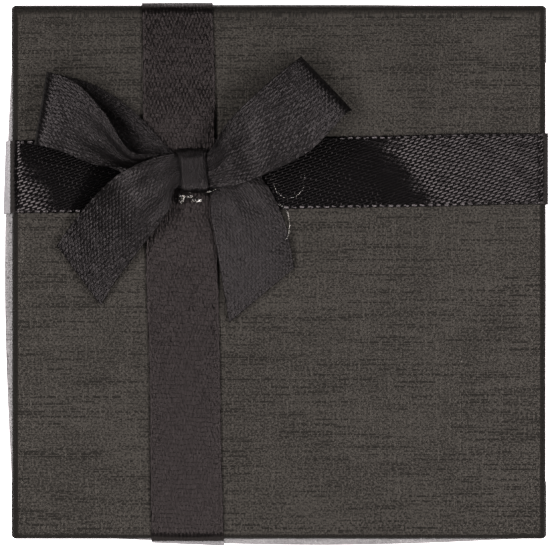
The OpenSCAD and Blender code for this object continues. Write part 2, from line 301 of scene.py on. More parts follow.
def linen_paper():
    """Black paper with a soft sheen, embossed with a linen weave: rows of short dark furrows
    along the sheet, a few pale threads across it, fine grain and sparse light specks. Painted
    shade darkens the paper's colour on the folds round the lid's top."""
    s = Shader("linen_paper")
    uv = s.cloth_uv()
    x, y, _ = s.split(uv)
    waving = s.times(s.noise(uv, scale=0.04, detail=1.0), 0.5)

    def row_noise(along, row, scale, shift, seed, detail):
        """Noise along a row, different in each row."""
        place = s.node(
            "ShaderNodeCombineXYZ", {0: s.times(along, scale), 1: s.times(row, shift), 2: seed}
        ).outputs[0]
        return s.noise(place, detail=detail)

    def threads(across, along, pitch, width, least, dash, seed):
        """Straight lines as 0 to 1, width wide, in rows at a pitch. They run where a slow noise
        is above least, broken into dashes about 1 / dash long."""
        place = s.over(s.add(across, waving), pitch)
        row = s.math("FLOOR", place)
        off = s.math("ABSOLUTE", s.less(s.math("FRACT", place), 0.5))
        line = s.ramp(off, 0.5 * width / pitch, 0.9 * width / pitch, 1.0, 0.0)
        runs = s.ramp(row_noise(along, row, 0.07, 7.31, seed, 1.0), least, least + 0.12)
        dashes = s.ramp(row_noise(along, row, dash, 3.17, seed, 2.0), 0.44, 0.55)
        return s.times(line, s.times(runs, dashes))

    furrow = threads(y, x, pitch=0.42, width=0.16, least=0.52, dash=1.9, seed=2.0)
    fine = threads(y, x, pitch=0.31, width=0.12, least=0.36, dash=2.6, seed=9.0)
    pale = threads(x, y, pitch=0.37, width=0.14, least=0.5, dash=0.7, seed=5.0)
    grain = s.noise(uv, scale=3.0, detail=2.0, rough=0.7)
    cloud = s.noise(uv, scale=0.1, detail=2.0)
    tone = s.add(s.times(s.ramp(grain, 0.3, 0.7), 0.9), s.times(pale, 0.3))
    tone = s.less(tone, s.times(furrow, 0.7))
    tone = s.less(tone, s.times(fine, 0.3))
    tone = s.add(tone, s.ramp(cloud, 0.3, 0.7, -0.05, 0.1))
    dark = (0.0006, 0.0004, 0.0003, 1)
    color = s.mix(tone, dark, (0.024, 0.0198, 0.0172, 1))
    up = s.split(s.place())[2]
    # painted shade: darkens the paper's colour on the folds round the lid's top
    painted_fold_shade = s.hump(up, (LID_TOP - 1.7, LID_TOP - 1.2), (LID_TOP - 0.35, LID_TOP - 0.1))
    color = s.mix(s.times(painted_fold_shade, 0.9), color, dark)
    speck = s.cells(uv, 0.14)
    speck = s.ramp(speck, 0.012, 0.022, 1.0, 0.0)
    color = s.mix(s.times(speck, 0.45), color, (0.4, 0.38, 0.36, 1))
    height = s.less(s.times(grain, 0.075), s.times(furrow, 0.05))
    height = s.less(height, s.times(fine, 0.015))
    height = s.add(height, s.times(pale, 0.015))
    return s.surface(
        Base_Color=color,
        Roughness=s.ramp(tone, 0.0, 0.8, 0.85, 0.45),
        Specular_IOR_Level=0.78,
        Specular_Tint=(1.0, 0.965, 0.91, 1),
        Normal=s.bump(height, 1.0),
    )


def satin(name, weave, relief, yarn_round, slubs, beads, rough, shine, tint, flat_middle=None):
    """Black satin ribbon with a beaded selvedge. Floats of the warp lie in rows, slanted in
    some weaves, and each rises from under the weft. The highlight spreads across the floats.
    relief, yarn_round, slubs and beads are the heights in millimetres of the floats, of each
    yarn's crown, of the yarn's unevenness and of the selvedge's beads. The colour is painted
    lighter on the floats' crowns and darker between them, as painted sheen and shade. Round
    flat_middle of the ribbon's length the floats lie flat and smooth, with painted shade
    darkening their colour. Satin on the lid's walls is duller, and where it bends over the
    lid's edge a painted sheen makes its colour paler."""
    s = Shader(name)
    pitch, length, slant, share, ahead = weave
    uv = s.cloth_uv()
    across, along, _ = s.split(uv)

    yarn_place = s.over(s.less(across, s.times(along, slant)), pitch)
    yarn = s.math("FLOOR", yarn_place)
    in_yarn = s.less(s.times(s.math("FRACT", yarn_place), 2.0), 1.0)
    round_top = s.less(1.0, s.times(in_yarn, in_yarn))
    wander = s.times(s.noise(s.stretched(uv, 0.5, 0.2), detail=1.0), 0.9)
    phase = s.add(s.over(along, length), s.times(yarn, ahead))
    phase = s.math("FRACT", s.add(phase, wander))
    crown = s.times(s.over(phase, share, clamp=True), s.ramp(phase, share, share + 0.07, 1.0, 0.0))
    woven = 1.0
    if flat_middle is not None:
        off = s.add(s.less(along, flat_middle), s.times(across, 0.8))
        off = s.add(s.math("ABSOLUTE", off), s.times(s.noise(uv, scale=0.3, detail=3.0), 5.0))
        woven = s.ramp(off, 25.5, 47.0)
        relief = s.times(s.ramp(s.math("POWER", woven, 0.75), 0.0, 1.0, 0.1, 1.0), relief)

    streak = s.noise(s.stretched(uv, 4.0, 0.09), detail=2.0)
    slub = s.noise(s.stretched(uv, 2.8, 0.6), detail=2.0)
    to_edge = s.math("MINIMUM", across, s.less(RIBBON_W, across))
    selvedge = s.ramp(to_edge, 0.38, 0.52, 1.0, 0.0)
    bead_phase = s.math("FRACT", s.add(s.over(along, BEAD_PITCH), s.times(slub, 0.5)))
    bead = s.times(s.times(bead_phase, 1.8, clamp=True), s.ramp(bead_phase, 0.56, 0.66, 1.0, 0.0))
    floats = s.add(s.times(round_top, yarn_round), s.times(crown, relief))
    height = s.add(s.times(floats, s.less(1.0, selvedge)), s.times(slub, slubs))
    height = s.add(height, s.times(s.times(bead, selvedge), beads))

    # painted sheen and shade: the colour is lighter on the floats' crowns and darker in the gaps between
    # them; the streaks are the satin's own tone
    shade = s.times(s.ramp(streak, 0.3, 0.7, 0.6, 1.2), s.ramp(crown, 0.0, 0.8, 0.15, 1.1))
    # painted shade: woven darkens the colour round the flat middle of the ribbon's length
    color = s.mix(s.times(shade, woven), (0.0004, 0.0003, 0.0003, 1), (0.006, 0.0052, 0.0052, 1))
    up = s.split(s.place())[2]
    # painted sheen: a paler colour where the ribbon bends over the lid's edge
    painted_bend_sheen = s.hump(up, (LID_TOP - 1.3, LID_TOP - 0.5), (LID_TOP - 0.1, LID_TOP + 0.3))
    color = s.mix(painted_bend_sheen, color, (0.04, 0.036, 0.036, 1))
    smooth_satin = s.times(s.less(1.0, woven), 0.19)
    slack_satin = s.ramp(up, LID_TOP - 0.3, LID_TOP + 0.4, 0.4, 0.0)
    roughness = s.less(s.ramp(streak, 0.3, 0.7, rough - 0.03, rough + 0.03), smooth_satin)
    return s.surface(
        Base_Color=color,
        Roughness=s.add(roughness, slack_satin),
        Specular_IOR_Level=shine,
        Specular_Tint=tint,
        Anisotropic=0.6,
        Tangent=s.node("ShaderNodeTangent", direction_type="UV_MAP", uv_map="cloth").outputs[0],
        Normal=s.bump(height, 1.0),
    )


def velvet():
    s = Shader("velvet")
    where = s.place()
    nap = s.noise(where, scale=0.16, detail=3.0)
    pile = s.noise(where, scale=5.0, detail=2.0)
    lint = s.cells(where, 0.12)
    color = s.mix(s.ramp(nap, 0.35, 0.65), grey(0.009), grey(0.018))
    color = s.mix(s.ramp(lint, 0.012, 0.02, 0.25, 0.0), color, grey(0.25))
    return s.surface(
        Base_Color=color,
        Roughness=0.95,
        Specular_IOR_Level=0.1,
        Sheen_Weight=0.35,
        Sheen_Roughness=0.35,
        Sheen_Tint=(0.55, 0.55, 0.6, 1),
        Normal=s.bump(s.add(pile, s.times(nap, 1.5)), 0.25, 0.6),
    )


def foam():
    s = Shader("foam")
    where = s.place()
    cells = s.cells(where, 2.2)
    mottle = s.noise(where, scale=0.5, detail=3.0)
    color = s.mix(s.ramp(cells, 0.1, 0.6), grey(0.004), grey(0.028))
    color = s.mix(s.ramp(mottle, 0.4, 0.7, 0.0, 0.4), color, grey(0.02))
    return s.surface(
        Base_Color=color,
        Roughness=0.9,
        Specular_IOR_Level=0.2,
        Normal=s.bump(cells, 0.35, 0.8),
    )


def greyboard():
    s = Shader("greyboard")
    where = s.place()
    fibres = s.noise(s.stretched(where, 1.0, 4.0, 6.0), scale=0.8, detail=4.0, rough=0.65)
    flecks = s.cells(where, 0.9)
    color = s.mix(s.ramp(fibres, 0.3, 0.7), (0.20, 0.18, 0.15, 1), (0.33, 0.31, 0.27, 1))
    color = s.mix(s.ramp(flecks, 0.06, 0.12, 0.6, 0.0), color, (0.05, 0.05, 0.06, 1))
    return s.surface(Base_Color=color, Roughness=0.9, Normal=s.bump(fibres, 0.08, 0.5))


def stay_tape():
    s = Shader("stay_tape")
    where = s.place()
    fibres = s.noise(s.stretched(where, 1.0, 1.0, 0.2), scale=1.6, detail=4.0)
    color = s.mix(s.ramp(fibres, 0.3, 0.7), (0.30, 0.20, 0.11, 1), (0.42, 0.30, 0.18, 1))
    return s.surface(Base_Color=color, Roughness=0.75, Normal=s.bump(fibres, 0.03, 0.5))


def lining_paper():
    s = Shader("lining_paper")
    where = s.place()
    fibres = s.noise(where, scale=1.4, detail=5.0, rough=0.7)
    cloud = s.noise(where, scale=0.08, detail=2.0)
    color = s.mix(s.ramp(fibres, 0.3, 0.7), grey(0.009, 0.03), grey(0.017, 0.03))
    color = s.mix(s.ramp(cloud, 0.4, 0.7, 0.0, 0.3), color, grey(0.02, 0.03))
    return s.surface(
        Base_Color=color,
        Roughness=0.7,
        Specular_IOR_Level=0.35,
        Normal=s.bump(fibres, 0.03, 0.6),
    )


def thread():
    s = Shader("thread")
    strands = s.node(
        "ShaderNodeTexWave",
        {"Vector": s.place(), "Scale": 2.0, "Distortion": 0.6},
        bands_direction="DIAGONAL",
    ).outputs["Fac"]
    color = s.mix(strands, grey(0.004), grey(0.02))
    return s.surface(Base_Color=color, Roughness=0.6, Normal=s.bump(strands, 0.05, 0.6))


def hot_glue():
    s = Shader("hot_glue")
    haze = s.noise(s.place(), scale=1.2, detail=3.0)
    return s.surface(
        Base_Color=s.mix(s.ramp(haze, 0.35, 0.7), (0.92, 0.92, 0.9, 1), (0.8, 0.8, 0.78, 1)),
        Roughness=s.ramp(haze, 0.3, 0.7, 0.03, 0.08),
        IOR=1.48,
        Specular_IOR_Level=1.0,
        Coat_Weight=1.0,
        Transmission_Weight=1.0,
    )


PAPER = linen_paper()
FLAT_SATIN = satin(
    "lengthwise_satin",
    FINE_WEAVE,
    relief=0.1,
    yarn_round=0.006,
    slubs=0.26,
    beads=0.02,
    rough=0.34,
    shine=0.36,
    tint=(1.0, 0.88, 0.92, 1),
)
TAUT_SATIN = satin(
    "crosswise_satin",
    SLANTED_WEAVE,
    relief=0.26,
    yarn_round=0.06,
    slubs=0.02,
    beads=0.19,
    rough=0.28,
    shine=0.45,
    tint=(1.0, 0.93, 1.0, 1),
    flat_middle=TUCK + LID_H + LID_HALF - 5.2,
)
BOW_SATIN = satin(
    "bow_satin",
    SOFT_WEAVE,
    relief=0.11,
    yarn_round=0.02,
    slubs=0.2,
    beads=0.08,
    rough=0.38,
    shine=0.43,
    tint=(0.99, 0.93, 1.0, 1),
)
VELVET = velvet()
FOAM = foam()
GREYBOARD = greyboard()
STAY_TAPE = stay_tape()
LINING = lining_paper()
THREAD = thread()
HOT_GLUE = hot_glue()

# ---- Paper coverings ----

CORNER_SPAN = 9.0  # where a wall has closer columns, from the ends of its flat part
LAP_W = 10.0  # how far a folded corner's paper reaches along the wall
LAP_SLANT = 0.12  # how much that lessens per millimetre toward the rim
LAP_T = 0.11
TOP_WAVE = 0.05  # how far the lid's top waves up and down

# How the paper goes over a wall's edge at a rim: (inset, how far back from the very edge)
RIM = [(0.06, 0.1), (0.22, 0.0), (1.7, 0.0), (1.86, 0.1), (WALL_T, 0.3)]


def wall_columns(span):
    """Columns of one wall's ring: (kind, value), an arc's degrees or a place along the wall,
    closer together where the folded corners' paper ends."""
    places = set(np.linspace(-span, span, 37).round(4))
    places |= {s * (span - CORNER_SPAN + d) for s in (-1, 1) for d in (-0.12, 0.0, 0.12)}
    arc = [11.25 * i for i in range(4, 0, -1)]
    return (
        [("before", -a) for a in arc]
        + [("wall", p) for p in sorted(places)]
        + [("after", a) for a in reversed(arc)]
    )


def covering(name, half, corner, profile, bows, lap):
    """The paper round a box's board. profile is a list of (insets of the four walls, height,
    distance from the middle along the unfolded sheet, greatest corner radius). For wall k,
    bows(k, along, z, inset) is its outward bow, and lap(k, along, z, spread) the extra
    thickness of its folded corners."""
    blocks = []
    for k in range(4):
        columns = wall_columns(half - corner)
        points = np.zeros((len(profile), len(columns), 3))
        uvs = np.zeros((len(profile), len(columns), 2))
        for i, (insets, z, spread, radius) in enumerate(profile):
            h, ahead, behind = (half - insets[j % 4] for j in (k, k + 1, k - 1))
            r = min(radius, h, ahead, behind)
            for j, (kind, value) in enumerate(columns):
                if kind == "wall":
                    limit = (ahead if value > 0 else behind) - r
                    flat = along = value * limit / (half - corner)
                    out = h + bows(k, along, z, insets[k]) + lap(k, along, z, spread)
                else:
                    a = math.radians(value)
                    side = ahead - r if kind == "after" else r - behind
                    flat, along = side + r * a, side + r * math.sin(a)
                    out = h - r + r * math.cos(a) + lap(k, along, z, spread) * math.cos(a)
                x, y = turned(out, along, k)
                wave = waver(x, y, 0, 22, TOP_WAVE) if z > LID_TOP - 0.5 else 0.0
                points[i, j] = (x, y, z + wave)
                uvs[i, j] = turned(spread, flat, k)
        blocks.append((points, uvs))
    return mesh_object(name, blocks, weld=True, sharp=32)


def same(inset):
    """One inset for all four walls."""
    return (inset,) * 4


def folded_lap(half, k, along, rise, spread):
    """How much thicker a covering is where the paper of its front and back walls is folded
    round onto side wall k. rise is the distance from the box's closed face."""
    if k % 2 or spread < half + 1.5:
        return 0.0
    edge = abs(along) - (half - LAP_W + LAP_SLANT * rise)
    return LAP_T * smooth(edge / 0.24)


SHOULDER_H = 1.45  # height of a plainly rounded shoulder

# The lid's folded edges in the order right, back, left, front: (width seen from above,
# height, degrees at which the fold leaves the top). The back's is rounded, the rest creased.
SHOULDERS = [(1.0, 2.1, 40), (1.95, SHOULDER_H, 0), (1.05, 2.1, 40), (0.75, 1.7, 40)]


def shoulder_inset(k, drop):
    """How far wall k's folded edge lies inside the wall at a depth below the top."""
    width, height, crease = SHOULDERS[k]
    if drop >= height:
        return 0.0
    start = math.radians(crease)
    t = math.acos(math.cos(start) * (1 - drop / height))
    return width * (1 - math.sin(t)) / (1 - math.sin(start))


def lid_profile():
    """From the middle of the lid's top out over its shoulder, down to the rim, up the inside
    as far as the paper is turned in, and back between paper and board."""
    outer_r, inner_r, board_r = 0.7, 0.4, 1.0
    profile = []
    for share in (1.0, 0.72, 0.5, 0.3, 0.16, 0.07):
        inset = share * LID_HALF
        profile.append((same(inset), LID_TOP, LID_HALF - inset, outer_r))
    deepest = max(height for _, height, _ in SHOULDERS)
    slope_share = 1.3  # length of sheet for each millimetre of the shoulder's depth
    start = LID_HALF - 1.2
    brink = tuple(width + 0.45 for width, _, _ in SHOULDERS)
    profile.append((brink, LID_TOP, start - 0.45, outer_r))
    for i in range(15):
        drop = deepest * (i / 14) ** 1.7
        insets = tuple(shoulder_inset(k, drop) for k in range(4))
        z = LID_TOP - 0.03 - drop * (1 - 0.03 / deepest)
        profile.append((insets, z, start + drop * slope_share, outer_r))
    side_z, side_spread = LID_TOP - deepest, start + deepest * slope_share
    steps = 9
    for i in range(1, steps + 1):
        z = side_z + (LID_RIM + 0.3 - side_z) * i / steps
        profile.append((same(0), z, side_spread + side_z - z, outer_r))
    spread = side_spread + side_z - LID_RIM
    for inset, lift in RIM:
        profile.append((same(inset), LID_RIM + lift, spread + inset, inner_r))
    for i in range(1, 6):
        z = LID_RIM + 0.3 + (TURN_IN - 0.3) * i / 5
        profile.append((same(WALL_T), z, spread + WALL_T + z - LID_RIM, inner_r))
    back = WALL_T - PAPER_T
    profile.append((same(back), LID_RIM + TURN_IN, spread + WALL_T + TURN_IN, inner_r))
    profile.append((same(back), LID_RIM + PAPER_T, spread + 2, inner_r))
    profile.append((same(PAPER_T + 0.02), LID_RIM + PAPER_T, spread, board_r))
    profile.append((same(PAPER_T + 0.02), side_z, side_spread, board_r))
    profile.append((same(0.75), LID_TOP - 0.75, LID_HALF - 0.5, board_r))
    profile.append((same(1.9), LID_TOP - PAPER_T, LID_HALF - 1.9, board_r))
    profile.append((same(LID_HALF), LID_TOP - PAPER_T, 0.0, board_r))
    return profile


def lid_lap(k, along, z, spread):
    return folded_lap(LID_HALF, k, along, LID_TOP - z, spread)


def lid_covering():
    obj = covering("lid_covering", LID_HALF, 0.7, lid_profile(), wall_bow, lid_lap)
    finish_piece(obj, PAPER, "lid", "lid_wrap")


def tray_profile():
    """From the middle of the tray's underside out and up to the rim, down the inside as far
    as the paper is turned in, and back between paper and board."""
    edge = 0.45  # radius of the bottom edge
    outer_r, inner_r, board_r = 1.0, 0.4, 0.8
    profile = []
    for share in (1.0, 0.6, 0.25, 0.04):
        inset = share * TRAY_HALF
        profile.append((same(inset), 0.0, TRAY_HALF - inset, outer_r))
    for a in (0, 30, 60, 90):
        t = math.radians(a)
        inset, z = edge * (1 - math.sin(t)), edge * (1 - math.cos(t))
        profile.append((same(inset), z, TRAY_HALF - edge + edge * t, outer_r))
    base = TRAY_HALF + 0.3
    for i in range(1, 5):
        z = edge + (TRAY_TOP - 0.3 - edge) * i / 4
        profile.append((same(0), z, base + z, outer_r))
    for inset, drop in RIM:
        profile.append((same(inset), TRAY_TOP - drop, base + TRAY_TOP + inset, inner_r))
    for i in range(1, 4):
        drop = 0.3 + (TURN_IN - 0.3) * i / 3
        profile.append((same(WALL_T), TRAY_TOP - drop, base + TRAY_TOP + WALL_T + drop, inner_r))
    back = WALL_T - PAPER_T
    profile.append((same(back), TRAY_TOP - TURN_IN, base + TRAY_TOP + 16, inner_r))
    profile.append((same(back), TRAY_TOP - PAPER_T, base + TRAY_TOP + 2, inner_r))
    profile.append((same(PAPER_T), TRAY_TOP - PAPER_T, base + TRAY_TOP, board_r))
    profile.append((same(PAPER_T), 0.5, base, board_r))
    profile.append((same(0.5), PAPER_T, base - 1, board_r))
    profile.append((same(TRAY_HALF), PAPER_T, 0.0, board_r))
    return profile


def tray_lap(k, along, z, spread):
    return folded_lap(TRAY_HALF, k, along, z, spread)


def no_bow(k, along, z, inset):
    """The tray's walls are straight."""
    return 0.0


def tray_covering():
    obj = covering("tray_covering", TRAY_HALF, 1.0, tray_profile(), no_bow, tray_lap)
    finish_piece(obj, PAPER, "tray", "base_wrap")


# ---- The insert pad ----

# Knife cuts in the pad: (middle x, y, half length), all along X
CUTS = [(0, 4, 12.5), (-21, 4, 4.5), (21, 4, 4.5), (-27, 30, 5), (27, 30, 5)]
CUT_HALF_W = 0.55
CUT_DEPTH = 3.2
CUT_END = 0.8  # how far a cut tapers past its ends
CUT_SAG, SAG_W = 0.22, 3.2  # the soft dip round a cut, and its width as a share of the cut's
FACE_WAVE = 0.08
EDGE_DROP, EDGE_W = 0.55, 1.6  # the rounding of the pad's edges, and how far in it reaches
CROWN_DROP, CROWN_W = 0.25, 12.0  # and the same for its crown
EDGE_LINES = (0.1, 0.25, 0.45, 0.7, 1.1)  # extra grid lines, at these distances inside an edge
CUT_LINES = (0.07, 0.18, 0.35, 0.55, 0.9, 1.6)  # and at these to both sides of a cut


def pad_dip(x, y):
    """How far the pad's face lies below its crown: rounded edges, cuts and slight waviness."""
    half = PAD_HI[0]
    dip = 0.0
    for u in (x, y):
        near = half - abs(u)
        dip += EDGE_DROP * (1 - smooth(near / EDGE_W)) + CROWN_DROP * (1 - smooth(near / CROWN_W))
    dip += FACE_WAVE + waver(x, y, 3, 14, FACE_WAVE)
    for cx, cy, hl in CUTS:
        along = max(abs(x - cx) - hl, 0) / CUT_END
        side = abs(y - cy) / CUT_HALF_W
        reach = math.hypot(along, side)
        dip += CUT_DEPTH * max(0.0, 1 - reach) ** 0.6
        dip += CUT_SAG * math.exp(-((reach / SAG_W) ** 2))
    return dip


def pad_lines(cuts, half):
    """Grid lines across the pad, closer together at the cuts and the edges."""
    lines = set(np.linspace(-half, half, 61).round(3)) | set(cuts)
    for s in (-1, 1):
        lines |= {s * (half - d) for d in EDGE_LINES}
        lines |= {c + s * d for c in cuts for d in CUT_LINES}
    return np.array(sorted(round(float(v), 3) for v in lines))


def pad_block(name, z_low, z_high, follow_low, shrink):
    """A slab whose top follows the pad's face, and whose underside does too if follow_low."""
    half = PAD_HI[0] - shrink
    ends = [c[0] + s * c[2] for c in CUTS for s in (-1, 1)]
    xs = pad_lines(ends, half)
    ys = pad_lines(sorted({c[1] for c in CUTS}), half)
    top = np.zeros((len(ys), len(xs), 3))
    low = np.zeros_like(top)
    for i, y in enumerate(ys):
        for j, x in enumerate(xs):
            dip = pad_dip(x, y)
            top[i, j] = (x, y, z_high - dip)
            low[i, j] = (x, y, z_low - dip if follow_low else z_low)
    edges = []
    for pick in (np.s_[0, :], np.s_[-1, :], np.s_[:, 0], np.s_[:, -1]):
        edges.append(np.stack([top[pick] * (1 - t) + low[pick] * t for t in (0, 0.33, 0.67, 1)]))
    blocks = [(b, b[:, :, :2].copy()) for b in [top, low, *edges]]
    return mesh_object(name, blocks, weld=True, sharp=60)


def insert_pad():
    """The foam block, and the velvet over its face, which dips with it."""
    velvet_t = VELVET_HI[2] - VELVET_LO[2]
    gap = 0.02
    face = pad_block("insert_velvet", VELVET_LO[2], VELVET_HI[2], follow_low=True, shrink=0.0)
    finish_piece(face, VELVET, "pad", "pad_velvet")
    foam_top = VELVET_HI[2] - velvet_t - gap
    block = pad_block("insert_foam", PAD_LO[2], foam_top, follow_low=False, shrink=gap)
    finish_piece(block, FOAM, "pad", "pad_foam")


# ---- Ribbons ----


def lengths(points):
    """How far along a line of points each of them is."""
    steps = np.linalg.norm(np.diff(points, axis=0), axis=1)
    return np.concatenate([[0], np.cumsum(steps)])


def unit_rows(v):
    return v / np.maximum(np.linalg.norm(v, axis=1, keepdims=True), 1e-9)


# A ribbon's columns, as shares of its width, closer together at the edges
COLUMNS = np.array([0, 0.018, 0.04, 0.07, 0.12, 0.18, 0.24, 0.3, 0.36, 0.42, 0.48])
COLUMNS = np.concatenate([COLUMNS, 1 - COLUMNS[::-1]])
ROW_STEP = 0.28  # from one row of a glued ribbon's points to the next
EDGE_WAVE = 0.22  # how far its edges wander
CUP = 0.12  # how far its middle stands above its edges


def ribbon_sheet(name, fronts, backs, lift=None, columns=COLUMNS, beads=0.05):
    """A ribbon ruled from its front edge to its back edge, with beaded selvedges. lift(share
    across, row) is how far each point stands off along the ribbon's face."""
    middle = (fronts + backs) / 2
    along = unit_rows(np.gradient(middle, axis=0))
    across = unit_rows(backs - fronts)
    face = unit_rows(np.cross(along, across))
    distance = lengths(middle)
    bead = np.sin(distance * 2 * math.pi / BEAD_PITCH)
    points = np.zeros((len(middle), len(columns), 3))
    uvs = np.zeros((len(middle), len(columns), 2))
    for j, w in enumerate(columns):
        line = fronts + (backs - fronts) * w
        edge = math.exp(-min(w, 1 - w) / 0.02)
        line = line + across * (beads * edge * (1 if w > 0.5 else -1) * bead)[:, None]
        if lift is not None:
            line = line + face * np.array([lift(w, i) for i in range(len(middle))])[:, None]
        points[:, j] = line
        uvs[:, j, 0] = w * RIBBON_W
        uvs[:, j, 1] = distance
    obj = mesh_object(name, [(points, uvs)])
    thicken(obj, RIBBON_T)
    return obj, float(distance[-1])


def resampled(points, step):
    """Points at an even step along a line of points."""
    at = lengths(points)
    wanted = np.linspace(0, at[-1], int(at[-1] / step) + 1)
    return np.stack([np.interp(wanted, at, points[:, c]) for c in range(3)], axis=1)


def half_route():
    """Half a ribbon's way round the lid, as (distance from the middle, height), from its
    tucked end to the lid's top."""
    stand = SLACK + RIBBON_T / 2
    inner = WALL_T + stand
    route = [(LID_HALF - inner, LID_RIM + TUCK), (LID_HALF - inner, LID_RIM + 1.0)]
    r = (inner + stand) / 2
    for a in np.linspace(0, 180, 13):
        t = math.radians(a)
        route.append((LID_HALF - inner + r - r * math.cos(t), LID_RIM + 0.5 - 0.75 * math.sin(t)))
    route.append((LID_HALF + stand, LID_TOP - 4.0))
    r = SHOULDER_H + stand
    for a in np.linspace(0, 90, 10):
        t = math.radians(a)
        d = LID_HALF - SHOULDER_H + r * math.cos(t)
        route.append((d, LID_TOP - SHOULDER_H + r * math.sin(t)))
    return route


def band(name, across, first, last, over, node):
    """A ribbon round the lid, along Y, or along X if across. first and last are its middle
    line's places at the start and the end, and over is how far it rises at the crossing."""
    k0, k1 = (2, 0) if across else (1, 3)  # the walls that it starts and ends on
    sign = -1 if across else 1
    crossing = KNOT[0 if across else 1]
    half = half_route()
    route = [(sign * d, 0, z) for d, z in half] + [(-sign * d, 0, z) for d, z in reversed(half)]
    line = resampled(np.array(route), ROW_STEP)
    edges = []
    for side in (-1, 1):
        edge = []
        for d, _, z in line:
            middle = first + (last - first) * (0.5 - sign * d / (2 * LID_HALF))
            b = middle + side * RIBBON_W / 2 + waver(d, side * 9, 7 + 5 * across, 16, EDGE_WAVE)
            on_top = z > LID_TOP + 0.05
            k = k0 if d * sign > 0 else k1
            turn = -1 if k in (1, 2) else 1  # which way b runs along that wall
            bow = 0.0 if on_top else wall_bow(k, turn * b, z, LID_HALF - abs(d))
            a = d + math.copysign(bow, d)
            near = smooth((16 - abs(d - crossing)) / 9)
            rise = over * near if on_top else 0.0
            # it lies a little loose between the knot and the lid's edges
            if on_top:
                loose = smooth((44 - abs(d)) / 6) * (1 - near)
                rise += max(0.0, 0.1 + waver(d, side * 4, 1 + across, 14, 0.06)) * loose
            edge.append((a, b, z + rise) if across else (b, a, z + rise))
        edges.append(np.array(edge))
    low, high = edges

    def cup(w, i):
        """Away from the knot, the ribbon's middle stands a little above its edges."""
        away = smooth((abs(line[i][0] - crossing) - 6) / 6)
        return CUP * (1 - (2 * w - 1) ** 2) * smooth((line[i][2] - LID_TOP + 0.5) / 0.5) * away

    obj, length = ribbon_sheet(name, low, high, lift=cup, beads=0.06 if across else 0.02)
    finish_piece(obj, TAUT_SATIN if across else FLAT_SATIN, "lid", node)


def bands():
    half_w = RIBBON_W / 2
    band(
        "lengthwise_ribbon",
        across=False,
        first=LENGTHWISE_LO[0] + half_w,
        last=LENGTHWISE_HI[0] - half_w,
        over=SLACK + RIBBON_T,
        node="ribbon_lengthwise",
    )
    band(
        "crosswise_ribbon",
        across=True,
        first=CROSSWISE_LO[1] + half_w,
        last=CROSSWISE_HI[1] - half_w,
        over=0.0,
        node="ribbon_crosswise",
    )


# ---- The bow ----

# The bow's ribbon from the left tail through the knot to the right loop, back through the
# knot to the left loop, and through it again to the right tail. Each stop: its back edge,
# its front edge, both from the middle of the knot, and how far it bulges.
BOW_STOPS = [
    ((-22.7, -12.6, -2.6), (-15.3, -22.7, -2.7), 0.2),
    ((-19.9, -8.6, -1.6), (-12.9, -18.7, -2.2), 0.5),
    ((-16.6, -4.6, 0.2), (-9.8, -14.6, -1.3), 0.5),
    ((-12.2, -0.6, 2.6), (-6.4, -10.2, -0.2), 0.4),
    ((-7.2, 1.8, 2.6), (-3.8, -6.4, 0.6), 0.2),
    ((-2.8, 2.8, 1.3), (-2.5, -2.8, 1.3), 0),
    ((2.5, 2.8, 1.3), (2.5, -2.8, 1.3), 0),
    ((6, 8, 3), (7, -2.6, 1.6), 0.4),
    ((11.2, 13.2, 4.2), (12.4, -0.6, 2.9), 0.8),
    ((15.6, 17, 3.0), (20, 3.4, 2.7), 0.6),
    ((18, 18.8, 2.0), (25.6, 9.2, 1.5), 0.2),
    ((18.3, 19.1, -0.1), (26.9, 10.1, -0.1), 0),
    ((17.6, 18.5, -1.3), (25.6, 9.2, -1.2), 0),
    ((12.6, 14.4, -2), (20, 3.6, -1.7), 0),
    ((7.4, 8.4, -1.5), (11.6, 0.4, -1.2), 0),
    ((2.5, 2.8, 0), (2.5, -2.8, 0), 0),
    ((-2.7, 2.8, 0), (-2.7, -2.8, 0), 0),
    ((-6.4, 2.8, 1.5), (-6.6, -0.8, -1.2), 0),
    ((-10.6, 3.4, 3.2), (-10.8, 0.6, -1.6), -0.3),
    ((-14.8, 9.8, 4.4), (-16, 1, -0.4), -0.6),
    ((-19.6, 14.9, 2.9), (-21.4, 3, 1.6), -0.5),
    ((-23.6, 16.4, 1.8), (-25.6, 4.2, 1.2), -0.2),
    ((-24.2, 16.6, -0.4), (-26.3, 4.3, -0.4), 0),
    ((-23.4, 16.4, -1.7), (-25.4, 4.2, -1.7), 0),
    ((-16.4, 14.4, -2.2), (-18.6, 2.4, -2.3), 0),
    ((-9.8, 10, -2), (-11.4, -0.4, -2.2), 0),
    ((-2.7, 2.8, -1.3), (-2.7, -2.8, -1.3), 0),
    ((2.5, 2.8, -1.3), (2.5, -2.8, -1.3), 0),
    ((7, 2, -1.6), (3.2, -4.4, -1.4), 0.2),
    ((12, -1.6, -1.9), (3.2, -7.4, -1.7), 0.3),
    ((15.2, -7.4, -2.2), (3.9, -11.4, -2), 0.4),
    ((16.4, -11.6, -2.5), (4.8, -16.6, -2.3), 0.4),
    ((17.3, -16.4, -2.7), (6.3, -25.6, -2.6), 0.1),
]
FOLDS = (11, 22)  # the stops at the two loops' ends
PLEATS = 2.3
PLEAT_DEPTH = 0.15  # at most
KNOT_T = 0.25


def spline(points, steps):
    """A smooth curve through points, with steps points from each to the next."""
    points = np.array(points, float)
    n = len(points)
    made = []
    for i in range(n - 1):
        p0, p1, p2, p3 = (points[min(max(j, 0), n - 1)] for j in (i - 1, i, i + 1, i + 2))
        squared = 2 * p0 - 5 * p1 + 4 * p2 - p3
        cubed = 3 * (p1 - p2) + p3 - p0
        for f in np.arange(steps) / steps:
            made.append(p1 + 0.5 * f * (p2 - p0 + f * (squared + f * cubed)))
    made.append(points[-1])
    return np.array(made)


